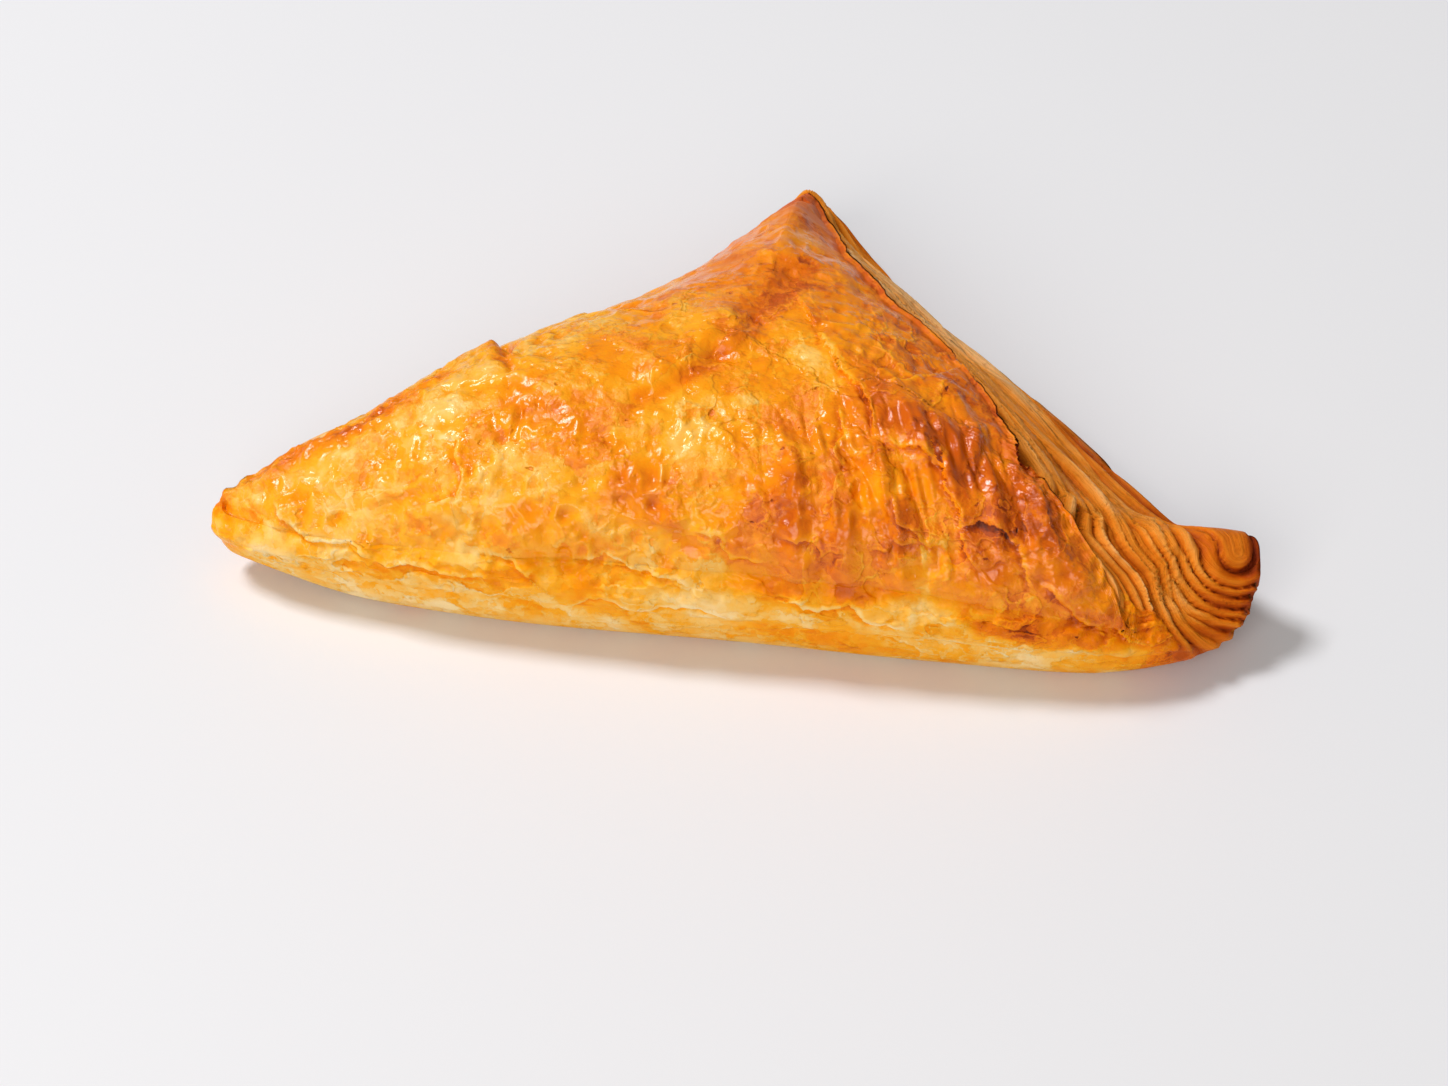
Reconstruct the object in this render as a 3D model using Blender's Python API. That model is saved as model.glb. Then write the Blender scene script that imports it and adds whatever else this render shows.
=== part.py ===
"""A baked chicken puff: a square of laminated dough folded corner to corner over its
filling, so that it has one long folded side and two cut sides whose layers have opened.

It lies on a flat spot under its middle. The fold runs along X, with the smooth tip at -X and
the opened tip at +X, and the apex points to +Y. Every length below is in millimetres.
"""

import math

import bmesh
import bpy
import numpy as np
from mathutils import Vector, noise

MM = 0.001

# The three corners of the outer rim, which is the widest line of the pastry, as x, y, z.
LEFT_TIP = (-77.0, -11.8, 7.5)
RIGHT_TIP = (81.6, -8.6, 7.0)
APEX = (9.0, 76.5, 8.5)
# The same corners of the top crust's edge, where the glazed sheet ends.
CRUST_LEFT = (-76.0, -11.0, 11.5)
CRUST_RIGHT = (68.3, -23.0, 9.5)
CRUST_APEX = (7.8, 71.5, 14.9)
# How far each side stands out of the straight line between its corners, at seven stations that lie
# closer together towards the corners. The sides are the fold, the right cut and the left cut.
RIM_OUT = (
    (4.0, 9.1, 13.2, 15.1, 17.2, 17.4, 12.2),
    (-1.4, -2.3, -1.8, -1.7, -1.4, -0.2, 1.5),
    (-0.6, -2.2, -4.2, -3.1, -0.9, 0.3, 0.6),
)
CRUST_OUT = (
    (3.0, 6.2, 7.8, 7.1, 6.0, 5.5, 2.5),
    (-1.6, -4.6, -3.9, -4.3, -3.9, -2.9, 0.2),
    (-1.2, -4.0, -7.4, -6.4, -2.9, -1.2, 0.4),
)
RIM_RISE = (
    (0.1, 0.3, 0.8, 1.1, 1.1, 0.2, -1.6),
    (1.2, 0.2, -0.6, -1.0, -1.1, -1.0, -0.3),
    (-1.0, -1.9, -2.2, -2.0, -1.9, -1.2, -0.5),
)
# How far the crust's edge rises above the straight line between its corners, at the same stations.
CRUST_RISE = (
    (0.9, 3.0, 5.2, 6.8, 7.2, 5.2, 1.5),
    (3.6, 8.8, 9.9, 9.2, 6.0, 2.6, 0.4),
    (0.0, 0.4, 1.9, 3.2, 4.2, 4.0, 2.0),
)
# The crown's profile over each side, from steep and full to sloping, and at the corners.
FULLNESS = (0.53, 0.68, 0.84)
CORNER_FULLNESS = 1.05
CROWN_CENTRE = (4.0, 10.0)
CROWN_HEIGHT = 35.0
CROWN_POWER = 2.6
# How far the underside draws in from the rim, and how far each tip stands off the table.
TUCK = (6.0, 4.0, 3.0)
TIP_LIFT = (3.0, 3.2, 2.0)
LIFT_REACH = 22.0
# The bottom sheet's corner turns up at the opened tip, like a lip.
LIP_RISE = 8.0
LIP_REACH = 9.0
# The rim's share of the way round against the crust edge's: the cut face widens at the opened tip,
# where the crust's corner sits on the fold ahead of the rim's own.
RIM_PLACES = (0.0, 0.90, 0.94, 0.987, 1.0, 1.045, 1.10, 1.18, 1.27, 2.0, 3.0)
CRUST_PLACES = (0.0, 0.975, 1.0, 1.04, 1.09, 1.13, 1.17, 1.22, 1.28, 2.0, 3.0)
CORNER_ROUNDING = 2.4
# The cut faces: ridges of layers either side of a mouth between the top and the bottom sheet, in a face
# that is wide enough for them, and a shadow gap under the top crust's edge.
CUT_START = 0.93
MOUTH_START = 1.0
MOUTH_PLACE = 0.86
LAYERS = 4
LAYER_DEPTH = 0.7
LAYER_ROOM = 14.0
MOUTH_DEPTH = 1.5
MOUTH_WIDTH = 1.2
EDGE_GAP_PLACE = 0.13
EDGE_GAP_WIDTH = 0.07
EDGE_GAP_DEPTH = 0.8
# The top crust's long crease, then its pleats and blisters: half width, height and the line of each.
CRUST_FOLDS = (
    (2.2, -1.4, ((-12.0, -5.0), (-4.0, 1.0), (2.0, 8.0), (4.5, 14.0), (7.0, 24.0))),
    (2.4, 1.1, ((-2.0, 7.0), (0.5, 12.0))),
    (1.9, 0.9, ((11.0, -14.0), (13.0, -25.0))),
    (1.9, 1.1, ((16.5, -12.0), (20.5, -26.0))),
    (2.0, 1.1, ((22.5, -12.0), (28.5, -27.0))),
    (2.2, 1.1, ((32.0, 0.0), (35.5, -25.0))),
    (2.6, 1.3, ((41.0, -2.5), (48.0, -27.0))),
    (2.4, 0.8, ((38.5, -5.5), (39.5, -5.0))),
    (2.4, 1.0, ((50.0, -20.0), (51.0, -25.0))),
    (2.6, 0.7, ((-16.0, -18.0), (-6.0, -20.0))),
)
# The crust's edge is torn once on the left cut: it climbs along this run of the loop and drops at once.
TEAR_RUN = (2.60, 2.52)
TEAR_RISE = 1.2
LUMP_SIZE = 11.0
LUMP_HEIGHT = 0.45

# The net of the solid: columns round the rim, and rows from the crown to the underside's middle.
COLUMNS = 160
CROWN_ROWS = 18
CUT_ROWS = 14
UNDER_ROWS = 3
BASE_ROWS = 2
ROWS = CROWN_ROWS + CUT_ROWS + UNDER_ROWS + BASE_ROWS
LOOP_SAMPLES = 720

CRUST_GOLD = (0.70, 0.32, 0.055)
CRUST_ROUGHNESS = 0.38


def clear_scene():
    """Removes every object, so that the pastry is alone."""
    for old in list(bpy.data.objects):
        bpy.data.objects.remove(old)


def curve_through(values, share):
    """A smooth curve from 0 to 0 through values at the stations, read at a share of the side from 0 to 1."""
    stations = (-values[0], 0.0, *values, 0.0, -values[-1])
    place = math.acos(1 - 2 * share) / math.pi * (len(values) + 1)
    first = min(int(place), len(values))
    part = place - first
    before, start, end, after = stations[first : first + 4]
    slope = (end - before) / 2
    end_slope = (after - start) / 2
    bend = part * part * (3 - 2 * part)
    lead = slope * part * (1 - part) ** 2 - end_slope * part * part * (1 - part)
    return start + (end - start) * bend + lead


def three_sided_loop(corners, outs, rises, places):
    """Points of a closed loop at places from 0 to 3: a whole number is a corner, and between two of them
    the side bows outwards and upwards."""
    points = np.empty((len(places), 3))
    for i, place in enumerate(places):
        side = int(place) % 3
        share = place - int(place)
        start = np.array(corners[side])
        end = np.array(corners[(side + 1) % 3])
        along = end - start
        outwards = np.array((along[1], -along[0], 0.0)) / math.hypot(along[0], along[1])
        points[i] = start + share * along + curve_through(outs[side], share) * outwards
        points[i, 2] += curve_through(rises[side], share)
    return points


def rounded(loop, reach):
    """The closed loop with its corners rounded, by averaging each point with those within reach."""
    step = np.linalg.norm(np.roll(loop, -1, axis=0) - loop, axis=1).mean()
    half = max(1, round(reach / step))
    weights = np.hanning(2 * half + 3)[1:-1]
    turned = [w * np.roll(loop, k - half, axis=0) for k, w in enumerate(weights)]
    return np.sum(turned, axis=0) / weights.sum()


def by_side(values, corner_value, places):
    """A number that has one value on each side of the loop and eases to another at the corners."""
    sides = places.astype(int) % 3
    swell = np.sin(math.pi * (places % 1.0)) ** 0.7
    return corner_value + (np.array(values)[sides] - corner_value) * swell


def by_corner(values, places):
    """A number that has one value at each corner and fades to none within a sixth of a side."""
    nearest = np.round(places)
    fade = np.clip(1 - 6 * np.abs(places - nearest), 0, 1)
    return np.array(values)[nearest.astype(int) % 3] * fade**2 * (3 - 2 * fade)


def rim_columns():
    """For each column of the net: its place round the loop, the rim point and the crust's edge point."""
    places = np.linspace(0, 3, LOOP_SAMPLES, endpoint=False)
    crust_places = np.interp(places, RIM_PLACES, CRUST_PLACES)
    rim = three_sided_loop((LEFT_TIP, RIGHT_TIP, APEX), RIM_OUT, RIM_RISE, places)
    crust_corners = (CRUST_LEFT, CRUST_RIGHT, CRUST_APEX)
    crust = three_sided_loop(crust_corners, CRUST_OUT, CRUST_RISE, crust_places)
    rim = rounded(rim, CORNER_ROUNDING)
    crust = rounded(crust, CORNER_ROUNDING)
    to_tip = np.linalg.norm(rim[:, :2] - np.array(RIGHT_TIP[:2]), axis=1)
    rim[:, 2] += LIP_RISE * np.exp(-((to_tip / LIP_REACH) ** 2))
    climb = (places - TEAR_RUN[0]) / (TEAR_RUN[1] - TEAR_RUN[0])
    crust[:, 2] += np.where((climb > 0) & (climb < 1), climb, 0) * TEAR_RISE
    steps = np.linalg.norm(np.roll(rim, -1, axis=0) - rim, axis=1)
    steps += np.linalg.norm(np.roll(crust, -1, axis=0) - crust, axis=1)
    travelled = np.concatenate(([0.0], np.cumsum(steps)))
    wanted = np.linspace(0, travelled[-1], COLUMNS, endpoint=False)
    sample = np.interp(wanted, travelled, np.arange(LOOP_SAMPLES + 1))
    before = np.floor(sample).astype(int)
    part = (sample - before)[:, None]
    after = (before + 1) % LOOP_SAMPLES
    rim = rim[before] * (1 - part) + rim[after] * part
    crust = crust[before] * (1 - part) + crust[after] * part
    return sample * 3 / LOOP_SAMPLES, rim, crust


def outwards_of(rim):
    """Level unit vectors out of the loop at each of its points."""
    along = np.roll(rim, -1, axis=0) - np.roll(rim, 1, axis=0)
    outwards = np.stack((along[:, 1], -along[:, 0], np.zeros(len(rim))), axis=1)
    return outwards / np.linalg.norm(outwards, axis=1)[:, None]


def cut_share(places):
    """0 on the folded side and 1 on the two cut sides, where the layers show."""
    opens = np.clip((places - CUT_START) / 0.05, 0, 1)
    closes = np.clip((3 - places) / 0.05, 0, 1)
    share = np.minimum(opens, closes)
    return share * share * (3 - 2 * share)


def crown_shares():
    """How far out from the crown's middle each of its rows lies, closer together towards the edge."""
    even = np.linspace(0, 1, CROWN_ROWS + 1)
    return (even + np.sin(even * math.pi / 2)) / 2


def net_rows():
    """The pastry's smooth form as rows of points, from the crown's middle to the underside's middle."""
    places, rim, crust = rim_columns()
    outwards = outwards_of(rim)
    fullness = by_side(FULLNESS, CORNER_FULLNESS, places)[:, None]
    tuck = by_side(TUCK, 3.0, places)[:, None]
    lift = by_corner(TIP_LIFT, places)
    centre = np.array(CROWN_CENTRE)
    rows = []
    for share in crown_shares():
        level = centre + share * (crust[:, :2] - centre)
        swell = (1 - share**CROWN_POWER) ** fullness
        height = crust[:, 2:] + (CROWN_HEIGHT - crust[:, 2:]) * swell
        rows.append(np.hstack((level, height)))
    nose = (1 - cut_share(places))[:, None] * 1.3
    for share in np.linspace(0, 1, CUT_ROWS + 1)[1:]:
        bulge = nose * math.sin(math.pi * share) * outwards
        rows.append(crust + share * (rim - crust) + bulge)
    for share in np.linspace(0, 1, UNDER_ROWS + 1)[1:]:
        turn = share * math.pi / 2
        row = rim - outwards * tuck * (1 - math.cos(turn))
        row[:, 2] = lift + (rim[:, 2] - lift) * (1 - math.sin(turn))
        rows.append(row)
    foot = rows[-1]
    reach = np.linalg.norm(foot[:, :2] - centre, axis=1)
    for share in np.linspace(0, 1, BASE_ROWS + 1)[1:]:
        level = foot[:, :2] + share * (centre - foot[:, :2])
        height = lift * np.clip(1 - reach * share / LIFT_REACH, 0, 1) ** 2
        rows.append(np.column_stack((level, height)))
    return np.array(rows), places


def distance_to_line(points, line):
    """The distance from each point to the nearest point of a line through several points."""
    best = np.full(len(points), np.inf)
    for start, end in zip(line[:-1], line[1:]):
        along = end - start
        share = np.clip((points - start) @ along / max(along @ along, 1e-9), 0, 1)
        gap = np.linalg.norm(points - start - share[:, None] * along, axis=1)
        best = np.minimum(best, gap)
    return best


def layer_relief(rows, places):
    """How far each point of the net stands out of, or lies in, the smooth cut faces. A layer is a line
    that divides the way from the mouth to the edge of the cut in one ratio, so that layers run along
    the cut sides and turn round the fold at its tips."""
    relief = np.zeros(rows.shape[:2])
    last = CROWN_ROWS + CUT_ROWS + UNDER_ROWS
    cut = cut_share(places)
    on_cut = np.flatnonzero(places >= CUT_START)
    mouth_row = CROWN_ROWS + round(MOUTH_PLACE * CUT_ROWS)
    mouth = rows[mouth_row, places >= MOUTH_START]
    edge = np.vstack((rows[CROWN_ROWS, on_cut], rows[last, on_cut[::-1]]))
    right = np.where(places[on_cut] < 2, 1, 0)
    for row in range(CROWN_ROWS, last + 1):
        points = rows[row, on_cut]
        to_mouth = distance_to_line(points, mouth)
        to_edge = distance_to_line(points, edge)
        width = to_mouth + to_edge
        layer = to_mouth / np.maximum(width, 1e-6)
        ridges = LAYER_DEPTH * np.cos(2 * math.pi * LAYERS * layer)
        ridges *= np.clip(width / LAYER_ROOM, 0, 1) ** 2 * np.clip(to_edge / 1.5, 0, 1)
        mouth_gap = MOUTH_DEPTH * np.exp(-((to_mouth / MOUTH_WIDTH) ** 2))
        off_gap = (row - CROWN_ROWS) / CUT_ROWS - EDGE_GAP_PLACE
        edge_gap = EDGE_GAP_DEPTH * math.exp(-((off_gap / EDGE_GAP_WIDTH) ** 2)) * right
        relief[row, on_cut] = (ridges - mouth_gap - edge_gap) * cut[on_cut]
    return relief


def crust_relief(rows):
    """The pleats, creases and soft lumps of the top crust, at each point of its rows."""
    relief = np.zeros(rows.shape[:2])
    crown = rows[: CROWN_ROWS + 1]
    flat = crown.reshape(-1, 3).copy()
    flat[:, 2] = 0
    total = np.zeros(len(flat))
    for half_width, height, ends in CRUST_FOLDS:
        line = np.column_stack((ends, np.zeros(len(ends))))
        total += height * np.exp(-((distance_to_line(flat, line) / half_width) ** 2))
    lumps = [noise.noise(Vector(point) / LUMP_SIZE) for point in crown.reshape(-1, 3)]
    total += LUMP_HEIGHT * np.array(lumps)
    fade = np.clip((1 - crown_shares()) * 6, 0.35, 1)
    relief[: CROWN_ROWS + 1] = total.reshape(crown.shape[:2]) * fade[:, None]
    return relief


def shape_pastry(mesh):
    """Starts from a sphere whose rings are the net's rows, and moves each point to its place."""
    rows, places = net_rows()
    relief = layer_relief(rows, places) + crust_relief(rows)
    net = bmesh.new()
    bmesh.ops.create_uvsphere(net, u_segments=COLUMNS, v_segments=ROWS, radius=1.0)
    spots = {}
    for point in net.verts:
        row = round(math.acos(max(-1.0, min(1.0, point.co.z))) / math.pi * ROWS)
        column = round(math.atan2(point.co.y, point.co.x) / math.tau * COLUMNS) % COLUMNS
        spots[point] = (row, column)
    for point, spot in spots.items():
        point.co = Vector(rows[spot]) * MM
    net.normal_update()
    moves = {point: point.normal * (relief[spot] * MM) for point, spot in spots.items()}
    for point, move in moves.items():
        point.co += move
        point.co.z = max(point.co.z, 0.0)
    lows = Vector([min(point.co[axis] for point in net.verts) for axis in range(3)])
    highs = Vector([max(point.co[axis] for point in net.verts) for axis in range(3)])
    middle = (lows + highs) / 2
    bmesh.ops.translate(net, verts=net.verts, vec=(-middle.x, -middle.y, 0.0))
    bmesh.ops.triangulate(net, faces=net.faces)
    bmesh.ops.recalc_face_normals(net, faces=net.faces)
    net.to_mesh(mesh)
    net.free()


def crust_material():
    """Egg-washed pastry, baked golden brown."""
    material = bpy.data.materials.new("golden_crust")
    material.use_nodes = True
    surface = material.node_tree.nodes["Principled BSDF"]
    surface.inputs["Base Color"].default_value = (*CRUST_GOLD, 1.0)
    surface.inputs["Roughness"].default_value = CRUST_ROUGHNESS
    surface.inputs["Metallic"].default_value = 0.0
    return material


def main():
    clear_scene()
    collection = bpy.data.collections.new("chicken_puff")
    bpy.context.scene.collection.children.link(collection)
    mesh = bpy.data.meshes.new("pastry")
    shape_pastry(mesh)
    mesh.shade_smooth()
    mesh.materials.append(crust_material())
    pastry = bpy.data.objects.new("pastry", mesh)
    collection.objects.link(pastry)


main()
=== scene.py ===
# %% [markdown]
# # A baked chicken puff
# A chicken puff is a square of laminated dough folded corner to corner over a savoury filling, glazed with
# egg and baked until the layers lift. This lesson dresses a plain solid of one: the solid gives its size and
# its place, and one dense skin with fine relief, thin layers and baked colours is laid over it.
# The solid is loaded first, and its bounding box is kept, as the finished pastry has to stay inside it.

# %% Load the plain solid
import math
import time

import bpy
import numpy as np
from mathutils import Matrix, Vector


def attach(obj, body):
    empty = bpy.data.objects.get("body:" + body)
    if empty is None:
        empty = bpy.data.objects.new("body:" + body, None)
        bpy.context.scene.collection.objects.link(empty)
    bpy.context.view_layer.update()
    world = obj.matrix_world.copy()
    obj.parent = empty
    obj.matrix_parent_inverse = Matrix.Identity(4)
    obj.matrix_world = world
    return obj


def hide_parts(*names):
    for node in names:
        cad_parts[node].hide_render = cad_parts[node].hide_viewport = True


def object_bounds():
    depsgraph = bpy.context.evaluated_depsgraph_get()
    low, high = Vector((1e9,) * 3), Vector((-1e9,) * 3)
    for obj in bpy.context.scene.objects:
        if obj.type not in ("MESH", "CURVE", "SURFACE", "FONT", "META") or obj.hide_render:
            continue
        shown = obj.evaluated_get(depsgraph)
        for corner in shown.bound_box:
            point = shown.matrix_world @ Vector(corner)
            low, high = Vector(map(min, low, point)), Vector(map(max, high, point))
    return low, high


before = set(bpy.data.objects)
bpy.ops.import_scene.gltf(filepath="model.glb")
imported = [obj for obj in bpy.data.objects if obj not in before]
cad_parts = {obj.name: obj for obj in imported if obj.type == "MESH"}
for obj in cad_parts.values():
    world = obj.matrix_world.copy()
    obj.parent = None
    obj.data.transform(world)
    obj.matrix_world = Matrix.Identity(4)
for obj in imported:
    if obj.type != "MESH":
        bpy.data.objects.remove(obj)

STARTED = time.time()
solid_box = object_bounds()
print("solid box, mm:", [[round(1000 * c, 1) for c in corner] for corner in solid_box])

# %% [markdown]
# ## The form
# The pastry is widest along its rim, a closed line with three corners. A second line above it is the edge
# of the glazed top sheet. Each side of these lines is a straight run between two corners plus a gentle bow,
# read from a few stations. The places 0, 1 and 2 are the left tip, the right tip and the apex, so a single
# number from 0 to 3 says where something is round the pastry.

# %% The rim and the crust's edge
MM = 0.001
LEFT_TIP = (-77.0, -11.8, 7.5)
RIGHT_TIP = (81.6, -8.6, 7.0)
APEX = (9.0, 76.5, 8.5)
CRUST_LEFT = (-76.0, -11.0, 11.5)
CRUST_RIGHT = (68.3, -23.0, 9.5)
CRUST_APEX = (7.8, 71.5, 14.9)
RIM_OUT = (
    (4.0, 9.1, 13.2, 15.1, 17.2, 17.4, 12.2),
    (-1.4, -2.3, -1.8, -1.7, -1.4, -0.2, 1.5),
    (-0.6, -2.2, -4.2, -3.1, -0.9, 0.3, 0.6),
)
CRUST_OUT = (
    (3.0, 6.2, 7.8, 7.1, 6.0, 5.5, 2.5),
    (-1.6, -4.6, -3.9, -4.3, -3.9, -2.9, 0.2),
    (-1.2, -4.0, -7.4, -6.4, -2.9, -1.2, 0.4),
)
RIM_RISE = (
    (0.1, 0.3, 0.8, 1.1, 1.1, 0.2, -1.6),
    (1.2, 0.2, -0.6, -1.0, -1.1, -1.0, -0.3),
    (-1.0, -1.9, -2.2, -2.0, -1.9, -1.2, -0.5),
)
CRUST_RISE = (
    (0.9, 3.0, 5.2, 6.8, 7.2, 5.2, 1.5),
    (3.6, 8.8, 9.9, 9.2, 6.0, 2.6, 0.4),
    (0.0, 0.4, 1.9, 3.2, 4.2, 4.0, 2.0),
)
RIM_PLACES = (0.0, 0.90, 0.94, 0.987, 1.0, 1.045, 1.10, 1.18, 1.27, 2.0, 3.0)
CRUST_PLACES = (0.0, 0.975, 1.0, 1.04, 1.09, 1.13, 1.17, 1.22, 1.28, 2.0, 3.0)
CORNER_ROUNDING = 2.4
LIP_RISE = 8.0
LIP_REACH = 9.0
TEAR_RUN = (2.60, 2.52)
TEAR_RISE = 1.2
# How far the middle of the solid's box lies from the origin of the numbers above.
BOX_MIDDLE = np.array((2.059, 23.697, 0.0))


def curve_through(values, share):
    """A smooth curve from 0 to 0 through values at stations that are closer together near both ends."""
    stations = np.array((-values[0], 0.0, *values, 0.0, -values[-1]))
    place = np.arccos(1 - 2 * share) / math.pi * (len(values) + 1)
    first = np.minimum(place.astype(int), len(values))
    part = place - first
    before, start, end, after = (stations[first + k] for k in range(4))
    bend = part * part * (3 - 2 * part)
    lead = (end - before) / 2 * part * (1 - part) ** 2 - (after - start) / 2 * part * part * (1 - part)
    return start + (end - start) * bend + lead


def three_sided_loop(corners, outs, rises, places):
    """Points of a closed loop at places from 0 to 3."""
    points = np.empty((len(places), 3))
    for side in range(3):
        here = places.astype(int) % 3 == side
        share = (places - places.astype(int))[here]
        start = np.array(corners[side])
        along = np.array(corners[(side + 1) % 3]) - start
        outwards = np.array((along[1], -along[0], 0.0)) / math.hypot(along[0], along[1])
        run = start + share[:, None] * along
        run += curve_through(outs[side], share)[:, None] * outwards
        run[:, 2] += curve_through(rises[side], share)
        points[here] = run
    return points


def rounded(loop, reach):
    """The closed loop with its corners rounded, by averaging each point with those within reach."""
    step = np.linalg.norm(np.roll(loop, -1, axis=0) - loop, axis=1).mean()
    half = max(1, round(reach / step))
    weights = np.hanning(2 * half + 3)[1:-1]
    turned = [w * np.roll(loop, k - half, axis=0) for k, w in enumerate(weights)]
    return np.sum(turned, axis=0) / weights.sum()


# %% [markdown]
# ## Columns and rows
# The skin is a net wrapped round the pastry. Its columns are spaced evenly by the distance they travel round
# the rim and the crust's edge together. Its rows run from the crown's middle to the crust's edge, down the
# cut face, under the rim, and in to the middle of the underside.

# %% Lay out the columns round the pastry
COLUMNS = 1000
LOOP_SAMPLES = 2880
CROWN_ROWS = 176
CUT_ROWS = 86
UNDER_ROWS = 8
BASE_ROWS = 3
ROWS = CROWN_ROWS + CUT_ROWS + UNDER_ROWS + BASE_ROWS


def rim_columns():
    """For each column: its place round the loop, the rim point and the crust's edge point."""
    places = np.linspace(0, 3, LOOP_SAMPLES, endpoint=False)
    crust_places = np.minimum(np.interp(places, RIM_PLACES, CRUST_PLACES), 3 - 1e-9)
    rim = three_sided_loop((LEFT_TIP, RIGHT_TIP, APEX), RIM_OUT, RIM_RISE, places)
    crust = three_sided_loop((CRUST_LEFT, CRUST_RIGHT, CRUST_APEX), CRUST_OUT, CRUST_RISE, crust_places)
    rim = rounded(rim, CORNER_ROUNDING)
    crust = rounded(crust, CORNER_ROUNDING)
    to_tip = np.linalg.norm(rim[:, :2] - np.array(RIGHT_TIP[:2]), axis=1)
    rim[:, 2] += LIP_RISE * np.exp(-((to_tip / LIP_REACH) ** 2))
    climb = (places - TEAR_RUN[0]) / (TEAR_RUN[1] - TEAR_RUN[0])
    crust[:, 2] += np.where((climb > 0) & (climb < 1), climb, 0) * TEAR_RISE
    steps = np.linalg.norm(np.roll(rim, -1, axis=0) - rim, axis=1)
    steps += np.linalg.norm(np.roll(crust, -1, axis=0) - crust, axis=1)
    travelled = np.concatenate(([0.0], np.cumsum(steps)))
    wanted = np.linspace(0, travelled[-1], COLUMNS, endpoint=False)
    sample = np.interp(wanted, travelled, np.arange(LOOP_SAMPLES + 1))
    before = np.floor(sample).astype(int)
    part = (sample - before)[:, None]
    after = (before + 1) % LOOP_SAMPLES
    rim = rim[before] * (1 - part) + rim[after] * part
    crust = crust[before] * (1 - part) + crust[after] * part
    return sample * 3 / LOOP_SAMPLES, rim, crust


places, rim, crust_edge = rim_columns()
rim_length = np.linalg.norm(np.diff(rim, axis=0), axis=1).sum()
print("columns:", COLUMNS, "rim length, mm:", round(float(rim_length)))

# %% [markdown]
# The crust doesn't reach the outer line everywhere. On the right it tore off higher up, so the layers start
# there, and the tear's outline is ragged. A few stations say how far out the crust goes, and noise frays it.

# %% Noise with a fixed seed
TABLE = np.random.default_rng(12).permutation(256)
VALUES = np.random.default_rng(13).uniform(-1, 1, 256)


def value_noise(where):
    """Smooth noise from -1 to 1: random values at whole coordinates, blended in between."""
    cell = np.floor(where).astype(int)
    part = where - cell
    part = part * part * (3 - 2 * part)
    total = np.zeros(len(where))
    for corner in range(8):
        step_to = np.array((corner & 1, corner >> 1 & 1, corner >> 2 & 1))
        a, b, c = ((cell + step_to) % 256).T
        weight = np.prod(np.where(step_to, part, 1 - part), axis=1)
        total += weight * VALUES[TABLE[(TABLE[(TABLE[a] + b) % 256] + c) % 256]]
    return total


def fractal(where, octaves=1, rough=0.5):
    """Octaves of noise added up, each half the size of the last, from about -1 to 1."""
    total = np.zeros(len(where))
    for octave in range(octaves):
        total += rough**octave * value_noise(where * 2.03**octave + 31.7 * octave)
    return total / (1 if octaves == 1 else 1.35)


# %% [markdown]
# Steam pushes the top sheet up while its edge stays down, so the crown swells like a cushion. A power of the
# distance from its middle gives that swell, with one fullness for each side. Simulating the steam would be
# slower and harder to steer.

# %% Helpers for the swell
CROWN_CENTRE = np.array((4.0, 10.0))
CROWN_HEIGHT = 35.0
CROWN_POWER = 2.6
FULLNESS = (0.53, 0.68, 0.84)
CORNER_FULLNESS = 1.05
TUCK = (6.0, 4.0, 3.0)
CORNER_TUCK = 3.0
TIP_LIFT = (3.0, 3.2, 2.0)
LIFT_REACH = 22.0
CRUST_END_PLACES = (0.875, 0.897, 0.915, 0.95, 1.0, 1.08, 1.2, 1.36, 1.43, 1.48, 1.6, 1.75, 1.84, 1.97, 2.05)
CRUST_END_SHARES = (1.0, 0.88, 0.79, 0.70, 0.73, 0.765, 0.80, 0.81, 0.845, 0.81, 0.77, 0.80, 0.90, 0.93, 1.0)
FRAYED_EDGE = 0.022


def smooth(low, high, value):
    """0 below low, 1 above high and an S-shaped step between them."""
    share = np.clip((value - low) / (high - low), 0, 1)
    return share * share * (3 - 2 * share)


def by_side(values, corner_value):
    """A number that has one value on each side of the pastry and eases to another at the corners."""
    sides = places.astype(int) % 3
    swell = np.sin(math.pi * (places % 1.0)) ** 0.7
    return corner_value + (np.array(values)[sides] - corner_value) * swell


def by_corner(values):
    """A number that has one value at each corner and fades to none within a sixth of a side."""
    nearest = np.round(places)
    return np.array(values)[nearest.astype(int) % 3] * smooth(0, 1, 1 - 6 * np.abs(places - nearest))


def crust_end():
    """For each column: how far out the crust reaches, as a share of the way from the crown's middle."""
    share = np.interp(places, CRUST_END_PLACES, CRUST_END_SHARES)
    fraying = fractal(rim / 4.0, 4, 0.65)
    return np.clip(share + FRAYED_EDGE * fraying * smooth(1.0, 0.93, share), 0, 1)[:, None]


# %% [markdown]
# Now the rows are laid: over the crown, down the side, round the rim and in under the pastry. A folded side
# bulges a little between the crust's edge and the rim, and a cut side is straight. The underside rises
# slightly at the tips, which bend up in the oven.

# %% Lay the rows from the crown to the underside
CUT_START = 0.93
LAYERS_START = 0.885
FOLD_BULGE = 1.3
STRAIGHT_SHARE = 0.4


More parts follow.
